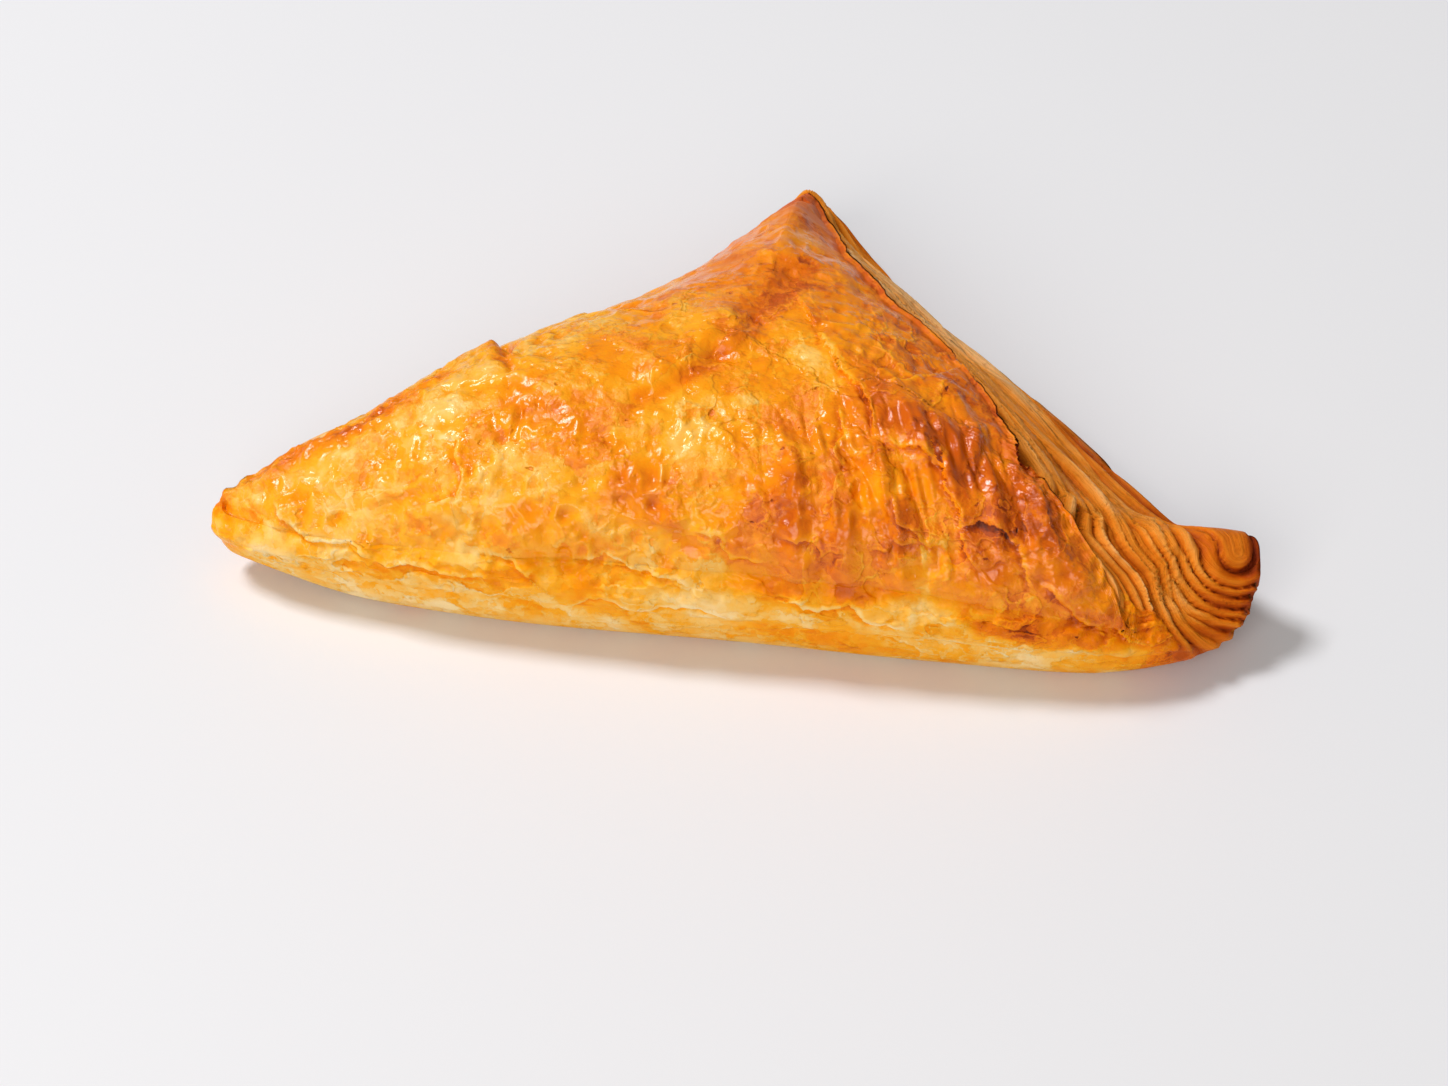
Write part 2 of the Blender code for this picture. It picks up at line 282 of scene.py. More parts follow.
def net_rows():
    """The pastry's smooth form as rows of points."""
    along = np.roll(rim, -1, axis=0) - np.roll(rim, 1, axis=0)
    outwards = np.stack((along[:, 1], -along[:, 0], np.zeros(COLUMNS)), axis=1)
    outwards /= np.linalg.norm(outwards, axis=1)[:, None]
    fullness = by_side(FULLNESS, CORNER_FULLNESS)[:, None]
    tuck = by_side(TUCK, CORNER_TUCK)[:, None]
    lift = by_corner(TIP_LIFT)
    even = np.linspace(0, 1, CROWN_ROWS + 1)
    end = crust_end()

    def crown_row(share):
        level = CROWN_CENTRE + share * (crust_edge[:, :2] - CROWN_CENTRE)
        swell = np.maximum(1 - share**CROWN_POWER, 0) ** fullness
        return np.hstack((level, crust_edge[:, 2:] + (CROWN_HEIGHT - crust_edge[:, 2:]) * swell))

    rows = [crown_row(share * end) for share in (even + np.sin(even * math.pi / 2)) / 2]
    torn_edge = rows[-1]
    shoulder = np.linalg.norm(torn_edge - crust_edge, axis=1)
    turn_at = (shoulder / (shoulder + np.linalg.norm(rim - crust_edge, axis=1)))[:, None]
    flat = STRAIGHT_SHARE * smooth(0, 0.1, turn_at)
    fold = (1 - np.minimum(smooth(CUT_START, CUT_START + 0.05, places), smooth(0, 0.05, 3 - places)))[:, None]
    for share in np.linspace(0, 1, CUT_ROWS + 1)[1:]:
        upper = crown_row(end + np.clip(share / np.maximum(turn_at, 1e-9), 0, 1) * (1 - end))
        low_share = np.clip((share - turn_at) / (1 - turn_at), 0, 1)
        lower = crust_edge + low_share * (rim - crust_edge)
        lower += fold * FOLD_BULGE * np.sin(math.pi * low_share) * outwards
        profile = np.where(share < turn_at, upper, lower)
        rows.append(profile + flat * (torn_edge + share * (rim - torn_edge) - profile))
    for share in np.linspace(0, 1, UNDER_ROWS + 1)[1:]:
        turn = share * math.pi / 2
        row = rim - outwards * tuck * (1 - math.cos(turn))
        row[:, 2] = lift + (rim[:, 2] - lift) * (1 - math.sin(turn))
        rows.append(row)
    foot = rows[-1]
    reach = np.linalg.norm(foot[:, :2] - CROWN_CENTRE, axis=1)
    for share in np.linspace(0, 1, BASE_ROWS + 1)[1:]:
        level = foot[:, :2] + share * (CROWN_CENTRE - foot[:, :2])
        height = lift * np.clip(1 - reach * share / LIFT_REACH, 0, 1) ** 2
        rows.append(np.column_stack((level, height)))
    return np.array(rows)


rows = net_rows()
points = rows.reshape(-1, 3)
row_number = np.repeat(np.arange(ROWS + 1), COLUMNS)
place_of = np.tile(places, ROWS + 1)
on_crown = row_number <= CROWN_ROWS
crown_share = row_number / CROWN_ROWS
cut_place = np.clip((row_number - CROWN_ROWS) / CUT_ROWS, 0, 1)
layers_from = LAYERS_START + 0.045 * smooth(0.25, 0.8, cut_place) + 0.013 * fractal(points / 3.5, 3, 0.6)
on_cut = np.minimum(smooth(0, 0.010, place_of - layers_from), smooth(0, 0.05, 3 - place_of))
on_skin = np.where(on_crown, 1, (1 - on_cut) * smooth(1.0, 0.85, cut_place))
x, y, z = points.T
print("points of the skin:", len(points))

# %% [markdown]
# ## Relief of the baked crust
# Heat lifts the skin into pleats, blisters and torn sheets. Each is a field: a height, in millimetres, at
# every point of the skin. Broad ones are drawn as lines with a width, because they sit at known places;
# small ones come from noise with a fixed seed, because no two bakes agree on them.

# %% Helpers that make fields
def show_range(name, values):
    """Prints the lowest and the highest value."""
    print(name, round(float(values.min()), 2), "to", round(float(values.max()), 2))


def distance_to_line(where, line):
    """The distance from each point to the nearest point of a line through several points."""
    best = np.full(len(where), np.inf)
    for start, end in zip(line[:-1], line[1:]):
        along = end - start
        share = np.clip((where - start) @ along / max(along @ along, 1e-9), 0, 1)
        best = np.minimum(best, np.linalg.norm(where - start - share[:, None] * along, axis=1))
    return best


over_the_side = smooth(0.7, 0.0, cut_place) * (1 - on_cut * ~on_crown)


def stroke(ends, half_width):
    """A soft stroke along a line seen from above: 1 on the line and near 0 beyond twice its half width."""
    level = np.column_stack((points[:, :2], np.zeros(len(points))))
    line = np.column_stack((ends, np.zeros(len(ends))))
    return np.exp(-((distance_to_line(level, line) / half_width) ** 2)) * over_the_side


def grain(size, seed, octaves=1, rough=0.5, stretch=(1, 1, 1)):
    """Fractal noise whose largest lumps are about size millimetres across, at every point of the skin."""
    return fractal(points * np.array(stretch) / size + seed * 17.3, octaves, rough)


# %% [markdown]
# Where the dough was folded over the filling it gathered into pleats, and a long crease runs up towards the
# apex. Each is a soft stroke with a half width and a height in millimetres, and a negative height is a
# hollow. The small pleats between them are folded noise drawn out downhill, as no two of them match.

# %% Pleats, folds and the long crease
CREASE = ((-12.0, -5.0), (-8.5, -3.0), (-4.5, 0.5), (-1.0, 5.0))
SOFT_CREASE = ((-1.0, 5.0), (3.0, 11.0), (5.0, 17.0), (8.0, 27.0))
CRUST_FOLDS = (
    (1.6, -0.7, CREASE),
    (3.0, -0.9, SOFT_CREASE),
    (2.6, 0.7, ((-9.0, 1.5), (-4.0, 6.0), (-1.0, 12.0))),
    (1.6, 1.2, ((0.0, 6.4), (1.8, 8.4))),
    (1.9, 0.9, ((11.0, -14.0), (13.0, -25.0))),
    (1.9, 1.0, ((16.5, -12.0), (20.5, -26.0))),
    (2.0, 1.0, ((22.5, -12.0), (28.5, -27.0))),
    (2.4, 1.1, ((33.0, 2.0), (37.0, -8.0), (41.0, -20.0))),
    (2.6, 1.2, ((44.0, -6.0), (46.0, -12.0), (47.0, -16.0))),
    (2.4, 1.0, ((38.0, -6.5), (39.5, -4.0))),
    (2.8, 1.1, ((49.0, -20.5), (52.5, -22.5))),
    (2.6, 0.6, ((-16.0, -18.0), (-6.0, -20.0))),
    (1.1, -1.1, ((-76.0, -11.0), (-73.0, -13.2), (-68.0, -16.5))),
    (1.2, -1.5, ((7.2, 57.5), (7.8, 59.0))),
    (0.9, -1.7, ((-35.0, 13.0), (-33.6, 7.0))),
    (0.8, -0.8, ((-33.6, 7.0), (-32.3, 1.0))),
)
PLEAT_WIDTH = 4.2
PLEAT_LENGTH = 19.0
PLEAT_HEIGHT = 1.8
folds = np.zeros(len(points))
for half_width, height, ends in CRUST_FOLDS:
    folds += height * stroke(ends, half_width)
crease = np.maximum(stroke(CREASE, 1.7), 0.45 * stroke(SOFT_CREASE, 3.4))
across, downhill = x * 0.95 + y * 0.30, y * 0.95 - x * 0.30
pleat_space = np.column_stack((across / PLEAT_WIDTH, downhill / PLEAT_LENGTH, np.full(len(points), 3.3)))
pleat_room = np.exp(-((((x - 30) / 23) ** 2 + ((y + 13) / 10.5) ** 2) ** 2)) * on_crown
pleats = PLEAT_HEIGHT * pleat_room * (1.7 * np.abs(fractal(pleat_space, 3)) ** 0.75 - 0.5)
lumps = 0.65 * grain(13.0, 0) + 0.50 * grain(5.5, 1, 2)
show_range("pleats, mm:", folds + pleats)

# %% [markdown]
# At the far left the baked sheet has snapped and one end stands up. It is a wedge that climbs along a line
# and stops dead, so the drop after it shows on the outline.

# %% The lifted sheet end
FLAP = np.array(((-52.0, -0.5), (-35.2, 10.4)))
FLAP_RISE = 1.5
FLAP_HALF_WIDTH = 5.0
flap_run = FLAP[1] - FLAP[0]
flap_length = np.linalg.norm(flap_run)
flap_along = (points[:, :2] - FLAP[0]) @ flap_run / flap_length
flap_across = (points[:, :2] - FLAP[0]) @ np.array((-flap_run[1], flap_run[0])) / flap_length
flap = FLAP_RISE * np.clip(flap_along / flap_length, 0, 1) ** 1.5 * smooth(0.4, 0.0, flap_along - flap_length)
flap *= np.exp(-((flap_across / FLAP_HALF_WIDTH) ** 2)) * on_crown
show_range("lifted end, mm:", flap)

# %% [markdown]
# Blisters are places where steam held the glaze up: they brown first, shine most and are finely wrinkled.

# %% Blisters
BLISTERS = (
    (2.0, ((0.0, 6.4), (1.8, 8.4))),
    (2.6, ((38.0, -6.5), (39.5, -3.5))),
    (3.2, ((44.0, -7.0), (46.0, -12.0), (47.0, -17.0))),
    (3.4, ((48.0, -20.5), (53.0, -22.5))),
    (2.6, ((10.5, -17.0), (11.5, -21.0))),
    (3.6, ((-15.0, -17.5), (-5.0, -20.0))),
    (2.2, ((17.0, -14.0), (19.5, -22.0))),
    (2.4, ((23.5, -13.0), (27.0, -23.0))),
)
blister = np.zeros(len(points))
for half_width, ends in BLISTERS:
    blister = np.maximum(blister, stroke(ends, half_width))
blister *= smooth(-0.55, 0.25, grain(4.0, 51, 3))
print("share of the skin on a blister:", round(float((blister > 0.5).mean()), 3))

# %% [markdown]
# The outermost sheets are torn into plates with ragged edges. Where fractal noise rises past a level, its
# outline wanders like a tear. Dividing the noise by its own slope turns it into a distance from that outline
# in millimetres, so every edge can be given the same thickness. Low on the fold the plates are long, because
# rolling drew the dough out there.

# %% Distances from the torn edges
def net_normals(net):
    """Unit normals, facing outwards, of a net of rows and columns."""
    down = np.gradient(net, axis=0)
    round_it = np.roll(net, -1, axis=1) - np.roll(net, 1, axis=1)
    normals = np.cross(down, round_it)
    length = np.linalg.norm(normals, axis=2, keepdims=True)
    return normals / np.maximum(length, 1e-12)


normals = net_normals(rows)
normals[0] = (0, 0, 1)
normals[-1] = (0, 0, -1)
point_normals = normals.reshape(-1, 3)


def to_distance(values):
    """How far, in millimetres, each point of the skin lies from the line where a field is zero."""
    grid = values.reshape(rows.shape[:2])
    down, by_row = np.gradient(rows, axis=0), np.gradient(grid, axis=0)
    side = (np.roll(rows, -1, axis=1) - np.roll(rows, 1, axis=1)) / 2
    by_column = (np.roll(grid, -1, axis=1) - np.roll(grid, 1, axis=1)) / 2
    down_2, mixed_2, side_2 = (down * down).sum(2), (down * side).sum(2), (side * side).sum(2)
    steep = side_2 * by_row**2 - 2 * mixed_2 * by_row * by_column + down_2 * by_column**2
    slope = np.sqrt(np.maximum(steep, 0) / np.maximum(down_2 * side_2 - mixed_2**2, 1e-5))
    return np.clip(grid / np.maximum(slope, 0.02), -4, 4).ravel()


low_down = smooth(17, 11, z)
ROLLED = (0.42, 1.0, 1.7)
frayed = 1.1 * grain(2.6, 70, 3, 0.6) + 0.7 * grain(1.1, 71)


def sheets(size, seed, level, fraying):
    """Distance from the frayed edges of sheets about size millimetres wide, drawn out low on the fold."""
    round_ones = grain(size, seed, 2, 0.4)
    long_ones = grain(size, seed + 1, 2, 0.4, ROLLED)
    return to_distance(round_ones + (long_ones - round_ones) * low_down - level) + fraying * frayed


edge_a = sheets(15.0, 3, 0.0, 1.0)
edge_b = sheets(8.0, 5, 0.05, 0.8)
edge_c = sheets(4.2, 7, 0.1, 0.5)
print("share of the skin on the largest plates:", round(float((edge_a > 0).mean()), 2))

# %% [markdown]
# The long tears stand out most: one sheet ends there and the next begins a step lower. Noise would put them
# anywhere, so each is drawn as a line over the surface, with the height of its step and how far it reaches.
# It is a step up across the line that fades away behind it.

# %% Long tears
LONG_TEARS = (
    (0.9, 9.0, ((13.0, 11.4, 34.7), (16.9, 2.2, 34.6), (19.5, -0.6, 34.3),
        (21.8, -5.7, 33.5), (22.7, -10.2, 32.3))),
    (0.7, 6.0, ((22.7, -10.2, 32.3), (25.4, -11.0, 31.9), (31.5, -11.8, 31.1), (34.2, -16.6, 28.7))),
    (0.6, 6.0, ((35.0, 10.3, 30.6), (31.0, 5.0, 32.1), (26.4, 1.6, 33.3), (23.1, 0.6, 33.9))),
    (0.5, 4.0, ((32.5, -9.8, 31.4), (33.2, -16.4, 28.9), (35.5, -19.0, 27.1),
        (36.6, -23.2, 23.2), (39.2, -24.9, 20.6))),
    (0.5, 4.0, ((25.8, -17.2, 29.0), (26.8, -20.9, 26.1), (29.9, -22.1, 24.7), (31.4, -25.1, 20.1))),
    (0.4, 3.5, ((9.5, -22.7, 23.7), (12.7, -23.3, 22.8), (15.3, -22.8, 23.8), (16.8, -24.4, 20.5))),
    (0.5, 4.0, ((-3.2, -22.3, 23.4), (1.4, -22.7, 23.1), (3.2, -24.1, 20.0), (9.1, -24.4, 19.8))),
    (0.4, 3.5, ((-20.0, -23.5, 16.5), (-15.1, -23.5, 17.9), (-8.8, -24.5, 16.1), (-2.2, -25.3, 15.2))),
    (0.5, 3.5, ((26.2, -21.6, 25.4), (27.0, -23.0, 23.6), (33.4, -22.7, 23.9), (35.4, -23.3, 23.1))),
    (0.3, 3.0, ((35.1, -21.3, 25.3), (38.4, -19.7, 26.2), (41.4, -20.2, 25.3),
        (44.7, -21.4, 23.5), (47.1, -25.9, 17.6))),
    (0.6, 4.0, ((58.8, -25.4, 12.9), (61.6, -26.3, 10.4), (65.4, -26.0, 9.1),
        (68.3, -23.7, 9.7), (68.0, -22.3, 10.8))),
    (0.5, 3.5, ((47.6, -24.7, 19.3), (51.0, -25.5, 16.9), (53.8, -26.2, 14.2), (58.2, -25.9, 12.2))),
    (0.5, 3.5, ((-67.0, -13.1, 15.6), (-65.1, -15.6, 14.3), (-59.9, -18.5, 13.0),
        (-54.1, -19.5, 13.9), (-50.1, -21.5, 12.3))),
    (0.4, 3.0, ((-42.4, -9.9, 27.3), (-38.7, -11.5, 27.4), (-37.2, -15.9, 25.1),
        (-37.8, -18.1, 22.9), (-42.5, -18.2, 21.3))),
    (0.4, 3.5, ((-33.4, -22.3, 16.7), (-29.5, -22.8, 16.1), (-27.1, -24.3, 13.9),
        (-25.6, -23.5, 15.6))),
    (0.4, 3.0, ((-49.4, -21.8, 12.0), (-44.8, -22.1, 13.2), (-40.3, -23.2, 12.5),
        (-32.0, -24.2, 12.6))),
    (0.4, 3.0, ((-22.3, -24.4, 8.2), (-16.1, -25.5, 12.0), (-10.1, -25.2, 9.3),
        (-2.8, -26.0, 11.9), (3.1, -25.6, 9.3))),
    (0.4, 3.0, ((10.4, -26.2, 14.5), (16.5, -26.8, 13.2), (20.6, -26.6, 14.6),
        (23.7, -27.2, 11.5), (29.7, -27.4, 10.9))),
    (0.4, 3.5, ((17.2, -4.1, 34.0), (18.3, -9.4, 32.7), (16.7, -12.9, 31.5), (19.6, -15.3, 30.3))),
)
FRAYING = 0.5


def long_tear(line, reach):
    """Signed distance from a line, positive on its left, and how strongly the tear shows there."""
    line = np.array(line)
    best, signed = np.full(len(points), np.inf), np.zeros(len(points))
    for start, end in zip(line[:-1], line[1:]):
        run = end - start
        away = points - start
        share = np.clip(away @ run / (run @ run), 0, 1)
        gap = np.linalg.norm(away - share[:, None] * run, axis=1)
        side = np.sign((np.cross(run, away) * point_normals).sum(axis=1))
        nearer = gap < best
        signed, best = np.where(nearer, side * gap, signed), np.minimum(best, gap)
    ends = np.minimum(*(np.linalg.norm(points - end, axis=1) for end in (line[0], line[-1])))
    strength = smooth(0.0, 2.5, ends) * np.exp(-((best / reach) ** 2)) * on_skin
    return signed + FRAYING * frayed, strength


tears = np.zeros(len(points))
tear_tone = np.zeros(len(points))
edge_d = np.full(len(points), 4.0)
tear_seen = np.zeros(len(points))
for height, reach, line in LONG_TEARS:
    signed, strength = long_tear(line, reach)
    tears += height * strength * smooth(-0.16, 0.16, signed)
    tear_tone += height * strength * (smooth(-0.3, 0.3, signed) - 0.5)
    nearer = np.abs(signed) < np.abs(edge_d)
    edge_d, tear_seen = np.where(nearer, signed, edge_d), np.where(nearer, strength, tear_seen)
show_range("long tears, mm:", tears)

# %% [markdown]
# The plates lie over one another, so each has a thickness and an edge that curled in the heat. They come in
# three sizes, and stand out most on the right and low on the fold, where the dough tore most. Separate
# overlapping sheets would look the same and need far more points.

# %% Torn plates
torn = 0.40 + 0.30 * smooth(-15, 20, x) + 0.35 * low_down
torn += 0.30 * smooth(-14, -22, y) * smooth(-5, 15, x)
torn = np.clip(torn + 1.1 * grain(9.0, 40, 2), 0, 1) * (0.15 + 0.85 * smooth(24, 6, y - 0.3 * np.abs(x - 5)))
PLATES = ((edge_a, 0.18, 0.10), (edge_b, 0.15, 0.08), (edge_c, 0.10, 0.05))
plates = np.zeros(len(points))
for edge, thickness, curl in PLATES:
    on_plate = smooth(-0.25, 0.25, edge)
    plates += (torn + 0.5 * low_down) * on_plate * (thickness + curl * np.exp(-np.abs(edge) / 0.9))
show_range("plates, mm:", plates)

# %% [markdown]
# Between the plates the glaze itself is finely wrinkled, like the skin on warm milk. Noise folded about its
# middle gives the sharp ridges of such wrinkles.

# %% Fine wrinkles
wrinkled = np.clip(0.60 + 0.3 * blister + 0.7 * grain(12.0, 61, 2) + 0.25 * smooth(-5, -30, x), 0.15, 1.3)
creased = 1 - 2.2 * np.sqrt(grain(2.5, 62, 2, 0.45, (1.0, 0.8, 1.0)) ** 2 + 0.006)
WRINKLE_HEIGHT = 0.50
wrinkles = WRINKLE_HEIGHT * wrinkled * creased
CRUMBLY_BAND = ((-77.0, -9.0), (-63.0, -5.5), (-51.0, -1.5), (-45.0, 2.5))
crumbly = stroke(CRUMBLY_BAND, 3.0)
wrinkles += 0.9 * crumbly * grain(2.4, 63, 3, 0.6)
show_range("wrinkles, mm:", wrinkles)

# %% [markdown]
# ## The layered cut faces
# Two sides of the pastry are cut edges of the laminated dough, so its sheets show as long lines. They run
# along the side, and at each tip they turn round the fold in nested bends. One ratio describes them all: how
# far a point lies on its way from the mouth, where the top sheet meets the bottom one, to the outer edge.

# %% The layer ratio on the cut faces
MOUTH_PLACE = 0.91
under_row = CROWN_ROWS + CUT_ROWS + UNDER_ROWS
mouth_row = CROWN_ROWS + round(MOUTH_PLACE * CUT_ROWS)
cut_columns = np.flatnonzero(places >= LAYERS_START + 0.02)
mouth_line = rows[mouth_row, places >= 1.0][::6]
EASING = 6


def eased(line):
    """The line with its fraying smoothed away."""
    weights = np.hanning(2 * EASING + 3)[1:-1]
    padded = np.pad(line, ((EASING, EASING), (0, 0)), mode="edge")
    return np.column_stack([np.convolve(part, weights / weights.sum(), mode="valid") for part in padded.T])


top_line = eased(rows[CROWN_ROWS, cut_columns][::4])
edge_line = np.vstack((top_line, rows[under_row, cut_columns[::-1]][::6]))
near_cut = (row_number >= CROWN_ROWS) & (row_number <= under_row) & (place_of >= LAYERS_START)
to_mouth = np.full(len(points), 50.0)
to_edge = np.full(len(points), 50.0)
to_mouth[near_cut] = distance_to_line(points[near_cut], mouth_line)
to_edge[near_cut] = distance_to_line(points[near_cut], edge_line)
face_width = to_mouth + to_edge
layer = to_mouth / face_width
show_range("cut faces, mm wide:", face_width[near_cut])

# %% [markdown]
# The sheets come in bundles with dark gaps between them, and each bundle shows thinner sheets. Folded noise,
# drawn out along the side, makes both: sharp valleys for the gaps, and sharp ridges for the thin sheets.

# %% Ridges of the layers
ROUND_LENGTH = 380.0
SHEETS_ACROSS = 7.0
BUNDLE_LENGTH = 30.0
THIN_LENGTH = 22.0
LAYER_HEIGHT = 1.35
along = place_of / 3 * ROUND_LENGTH
sway = fractal(np.column_stack((layer * 3.0, along / 16.0, np.zeros(len(points)))) + 5.5, 2)
sheet_place = layer * SHEETS_ACROSS * (1 + 1.6 * smooth(18, 34, face_width)) + 0.55 * sway
flat_space = np.zeros(len(points))
bundle_space = np.column_stack((sheet_place, along / BUNDLE_LENGTH, flat_space))
thin_space = np.column_stack((sheet_place * 1.7, along / THIN_LENGTH, flat_space))
bundles = 2 * np.abs(fractal(bundle_space, 2, 0.35)) ** 0.6 - 0.9
thin = 1 - 2.4 * np.abs(fractal(thin_space + 9.1))
strands = 0.65 * bundles + 0.35 * thin
ridge_room = np.clip(face_width / 9.0, 0, 1)
from_right = np.linalg.norm(points - np.array((80.0, -9.0, 13.0)), axis=1)
mouth_gap = 1.6 * np.exp(-((to_mouth / 1.0) ** 2)) * smooth(6.0, 16.0, from_right)
on_right = smooth(0.89, 0.93, place_of) * smooth(2.02, 1.9, place_of)
gap_depth = 0.5 + 1.0 * smooth(1.55, 1.40, place_of) * smooth(0.88, 0.98, place_of)
edge_gap = gap_depth * np.exp(-((to_edge / (1.0 + 0.9 * gap_depth)) ** 2)) * on_right * (cut_place < 0.6)

# %% [markdown]
# At the right tip the sheets bend round the mouth of the fold like shelves, one inside the other. Each shelf
# rises fast on one side and falls slowly on the other, which a power inside a sine gives.

# %% The nested bends at the right tip
SHELF_WIDTH = 2.0
shelf = (to_mouth / SHELF_WIDTH + 2.2 * sway) % 1
shelves = 1.4 * np.sin(math.pi * shelf**0.65) ** 0.8 - 0.9 + 0.45 * thin
shelves *= 0.45 + 0.45 * smooth(0, 4, to_edge)
shelves += (0.5 - shelves) * smooth(3.0, 1.8, to_mouth)
at_tip = 0.85 * smooth(20, 11, from_right)
strands = strands + (shelves - strands) * at_tip
ridges = (strands - 0.2) * LAYER_HEIGHT * ridge_room - mouth_gap - edge_gap
layers = np.where(near_cut & ~on_crown, ridges * on_cut, 0)
show_range("layers, mm:", layers)

# %% [markdown]
# ## Baked colour
# Colour follows heat. The apex, the tips, the crease and every blister that stood nearest the oven's roof
# went furthest towards brown, while the strip by the tray stayed pale. One field from 0, pale dough, to 1,
# dark brown, is stored on the skin, and the material turns it into colour. The field also carries painted
# shade: hollows and the back of the lifted end are made browner, so that the shadows there stay orange.

# %% The field of browning and painted shade
LEFT_BAKE = 0.39
RIGHT_EXTRA = 0.27
APEX_BAKE = 0.78
from_apex = np.linalg.norm(points - np.array((8.0, 72.0, 15.0)), axis=1)
browning_and_shade = LEFT_BAKE + RIGHT_EXTRA * smooth(-34, 30, x) + 0.02 * smooth(-40, -72, x)
browning_and_shade += (APEX_BAKE - browning_and_shade) * smooth(60, 8, from_apex)
browning_and_shade += 0.14 * smooth(30, 6, from_right)
shoulder = smooth(0.78, 0.97, crown_share) * on_crown
shoulder *= smooth(0.93, 1.05, place_of) * smooth(2.0, 1.9, place_of)
browning_and_shade += 0.08 * shoulder
paler_edge = smooth(0.972, 0.995, crown_share) * on_crown * on_right
browning_and_shade -= 0.154 * paler_edge * smooth(-0.3, 0.4, grain(5.0, 26, 2))
browning_and_shade += 0.16 * tear_tone
# Crease, pleat ridges and blisters brown more. The hollows of folds and lumps are painted browner as painted
# shade, so that their shadows stay orange.
browning_and_shade += 0.20 * crease + 0.05 * pleats - 0.12 * folds.clip(-2, 0) - 0.04 * lumps.clip(-2, 0) + 0.10 * blister
SUNNY_PATCH = ((-34.0, -6.0), (-22.0, -6.0))
PALE_PATCHES = (
    (6.5, 0.14, ((-4.0, -10.0), (3.0, -4.0), (14.0, 4.0))),
    (2.8, 0.16, ((-6.0, -12.0), (-2.5, -9.5))),
)
browning_and_shade += 0.13 * stroke(SUNNY_PATCH, 9.0)
for half_width, amount, ends in PALE_PATCHES:
    browning_and_shade -= amount * stroke(ends, half_width)
browning_and_shade += 0.09 * grain(16.0, 21, 3, 0.6)
show_range("browning of the top:", browning_and_shade)

# %% [markdown]
# Low on the fold the dough lay close to the tray, out of the hot air, and stayed pale and dull. The strip's
# upper border wanders with noise. Hollows between wrinkles and the back of the lifted end are painted
# browner, and wrinkle ridges paler: painted shade, which keeps the shadows there orange.

# %% The pale strip and the small differences
STRIP_SHARE = 0.85
fold_side = 1 - on_cut
strip_top = 10.5 + 4.5 * smooth(-25, 5, x) - 5.5 * smooth(28, 50, x)
low_strip = smooth(1.5, -1.5, z + 1.6 * grain(7.0, 23, 3) - strip_top)
low_strip *= fold_side * smooth(76, 52, x) * smooth(-76, -68, x)
strip_bake = 0.32 - 0.10 * smooth(-20, 50, x) - 0.13 * smooth(8, 5, z) * smooth(0, -20, x)
browning_and_shade += (strip_bake - browning_and_shade) * low_strip * STRIP_SHARE
browning_and_shade += 0.30 * crumbly * (0.7 + 0.9 * grain(4.0, 24, 3))
# Painted shade: hollows between wrinkles are made browner and their ridges paler.
browning_and_shade -= 0.09 * wrinkled * creased * on_skin
# Painted shade: the back of the lifted sheet end, which faces away from the light, is made browner.
browning_and_shade += 0.22 * stroke(((-36.5, 12.0), (-33.0, 3.0)), 1.6)
browning_and_shade += low_down * on_skin * (0.07 * smooth(-0.2, 0.2, edge_c) - 0.07 * smooth(-0.2, 0.2, edge_b) + 0.02)
browning_and_shade = np.clip(browning_and_shade, 0, 1)
show_range("browning:", browning_and_shade)

# %% [markdown]
# ## Build the skin
# The relief is added along the normals of the smooth form. One mesh for all of it would be too heavy to
# handle, so the net is made into three: the glazed top sheet, its shoulders, and the sides with the
# underside. All take their shading normals from the whole net, so that no seam shows where they meet.

# %% Add the relief to the net
PLATE_BASE = 0.4
middle_fade = smooth(0, 0.05, crown_share)
torn_lip = 0.5 * smooth(0.95, 1.0, crown_share) * on_crown * on_right
relief = (folds + pleats + flap + torn_lip) * on_crown * middle_fade + lumps * np.maximum(on_crown, 0.4)
relief += (wrinkles + tears) * on_skin * middle_fade
relief += layers + (plates - PLATE_BASE) * (1 - near_cut * on_cut)
relief = relief * smooth(under_row - 3, under_row - 8, row_number)
shaped = points + point_normals * relief[:, None]
shaped[:COLUMNS] = shaped[:COLUMNS].mean(axis=0)
low, high = (np.array(corner) / MM + BOX_MIDDLE for corner in solid_box)
shaped = np.clip(shaped, low, high)
shaped_net = shaped.reshape(rows.shape)
shading = net_normals(shaped_net)
shading[0] = shading[1].mean(axis=0)
shading[-1] = (0, 0, -1)
print("skin box, mm:", shaped.min(0).round(1), shaped.max(0).round(1))

# %% [markdown]
# Each piece is a mesh of some of the rows. It rides on the body of the plain solid and takes its place. The
# fields go onto its points as attributes, so that the material can read them without any picture.

# %% Make a mesh from a range of rows
def net_piece(name, first, last, fields):
    """A mesh of the rows from first to last, with its fields and the whole net's shading."""
    index = np.arange((last - first + 1) * COLUMNS).reshape(-1, COLUMNS)
    right = np.roll(index, -1, axis=1)
    quads = np.stack((index[:-1], index[1:], right[1:], right[:-1]), axis=2).reshape(-1, 4)
    corners = (shaped_net[first : last + 1].reshape(-1, 3) - BOX_MIDDLE) * MM
    mesh = bpy.data.meshes.new(name)
    mesh.from_pydata(corners.tolist(), [], quads.tolist())
    mesh.shade_smooth()
    span = slice(first * COLUMNS, (last + 1) * COLUMNS)
    for field_name, values in fields.items():
        stored = mesh.attributes.new(field_name, "FLOAT", "POINT")
        stored.data.foreach_set("value", np.asarray(values[span], np.float32))
    mesh.normals_split_custom_set_from_vertices(shading[first : last + 1].reshape(-1, 3).tolist())
    made = bpy.data.objects.new(name, mesh)
    bpy.context.scene.collection.objects.link(made)
    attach(made, "root")
    print(name, "triangles:", 2 * len(quads))
    return made


